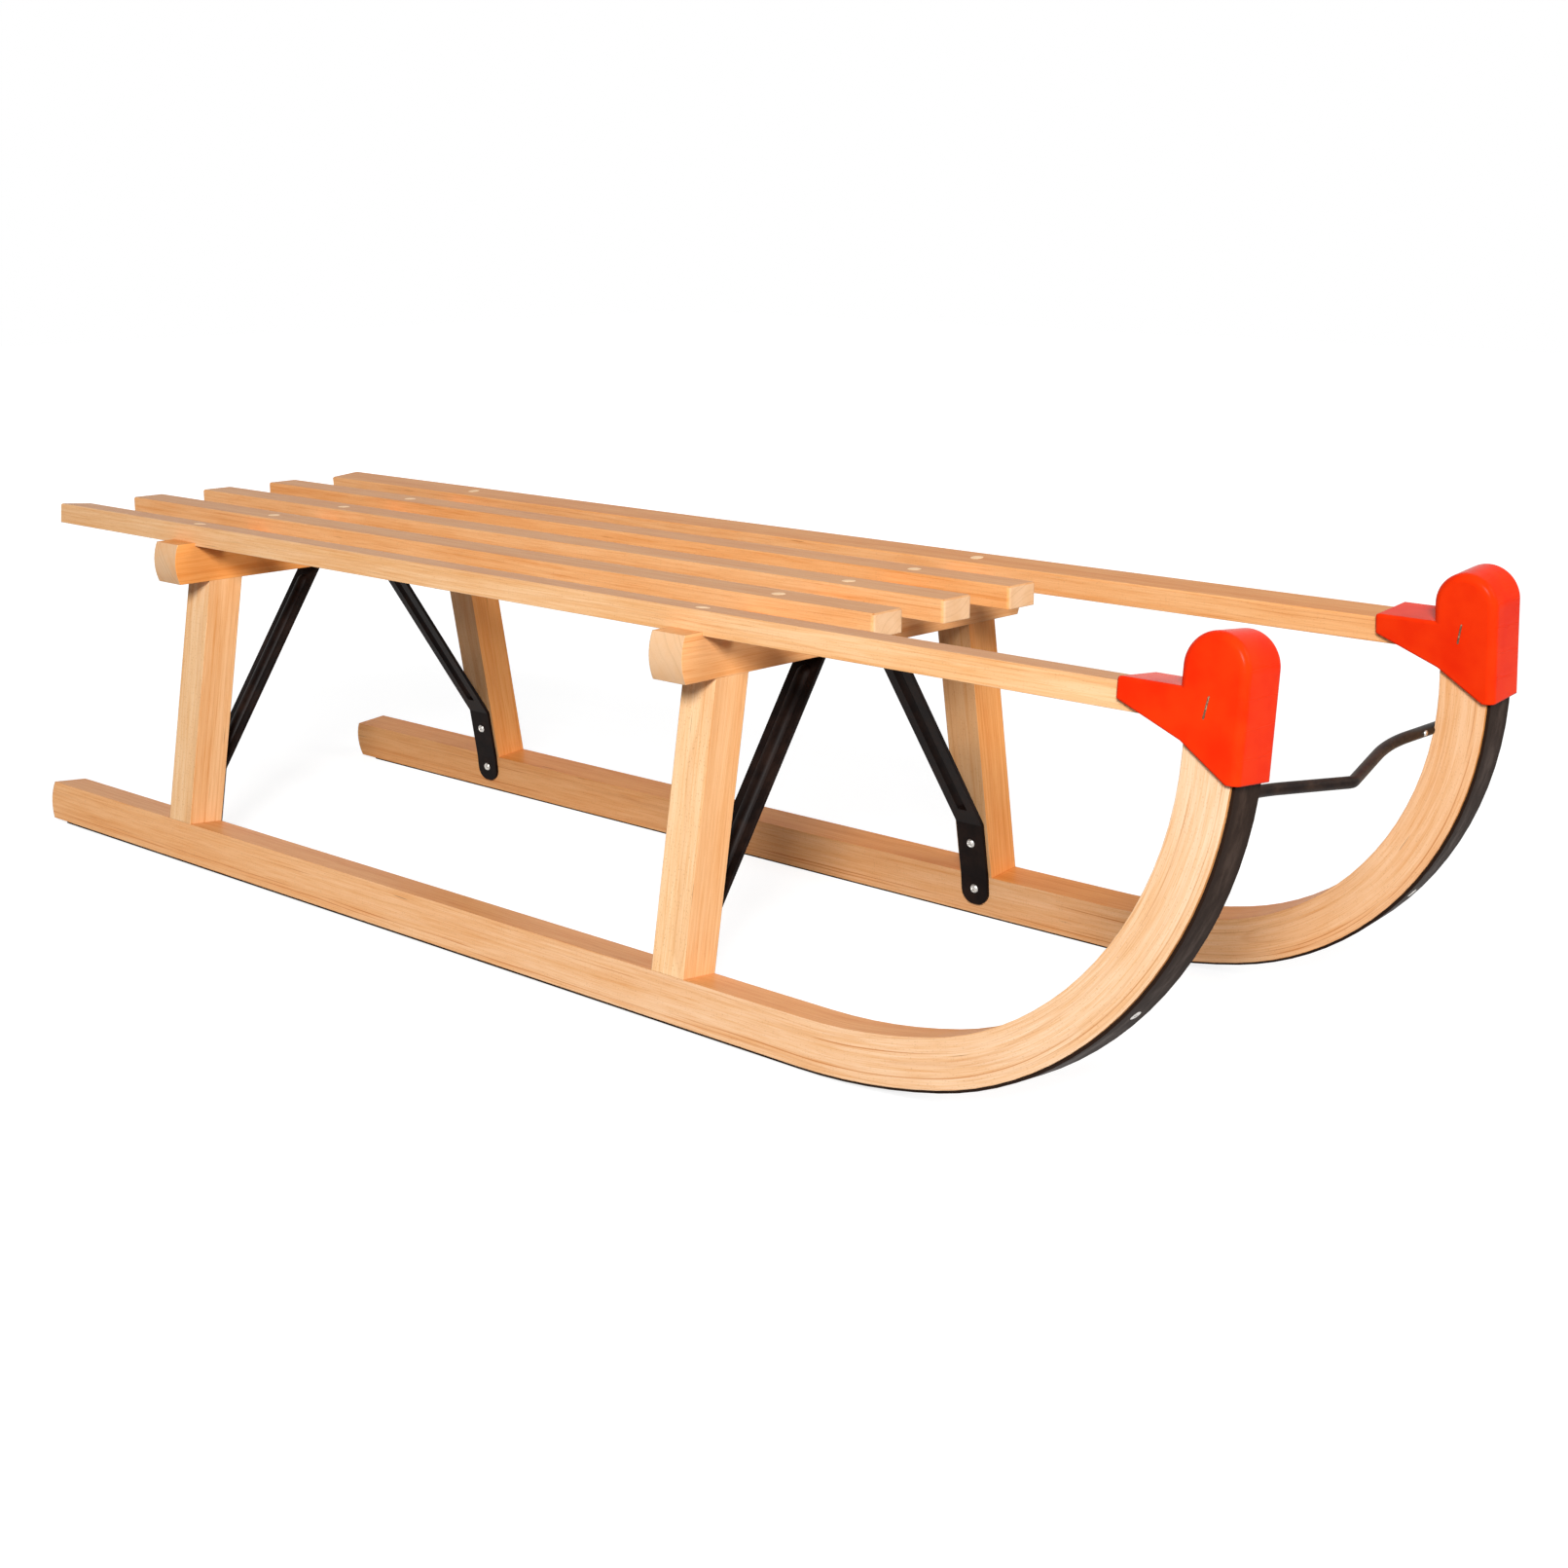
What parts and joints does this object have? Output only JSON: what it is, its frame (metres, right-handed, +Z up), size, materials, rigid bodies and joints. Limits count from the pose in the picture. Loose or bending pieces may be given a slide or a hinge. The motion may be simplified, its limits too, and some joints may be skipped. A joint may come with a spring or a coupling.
{
  "type": "davos sled",
  "caption": "Wooden sled with a slatted seat on splayed legs, bent runners with steel shoes, black braces, a pull bar between the horns and moulded horn caps.",
  "frame": {"origin": "on the floor below the middle of the sled's box", "axes": "+X forward to the horns, +Y left, +Z up"},
  "size_m": [1.1079, 0.342, 0.294],
  "materials": {
    "beech": "clear lacquered beech",
    "shoe_steel": "dark rolled steel",
    "black_steel": "black semi-gloss paint",
    "bar_steel": "dark brown blackened steel",
    "red_plastic": "glossy red moulded plastic"
  },
  "bodies": {
    "root": {"runner_left": "beech", "runner_right": "beech", "leg_front_left": "beech", "leg_front_right": "beech", "leg_rear_left": "beech", "leg_rear_right": "beech", "crossbar_front": "beech", "crossbar_rear": "beech", "slat_outer_left": "beech", "slat_inner_left": "beech", "slat_middle": "beech", "slat_inner_right": "beech", "slat_outer_right": "beech", "runner_shoe_left": "shoe_steel", "runner_shoe_right": "shoe_steel", "brace_front_left": "black_steel", "brace_front_right": "black_steel", "brace_rear_left": "black_steel", "brace_rear_right": "black_steel", "pull_bar": "bar_steel", "horn_cap_left": "red_plastic", "horn_cap_right": "red_plastic"}
  },
  "joints": []
}
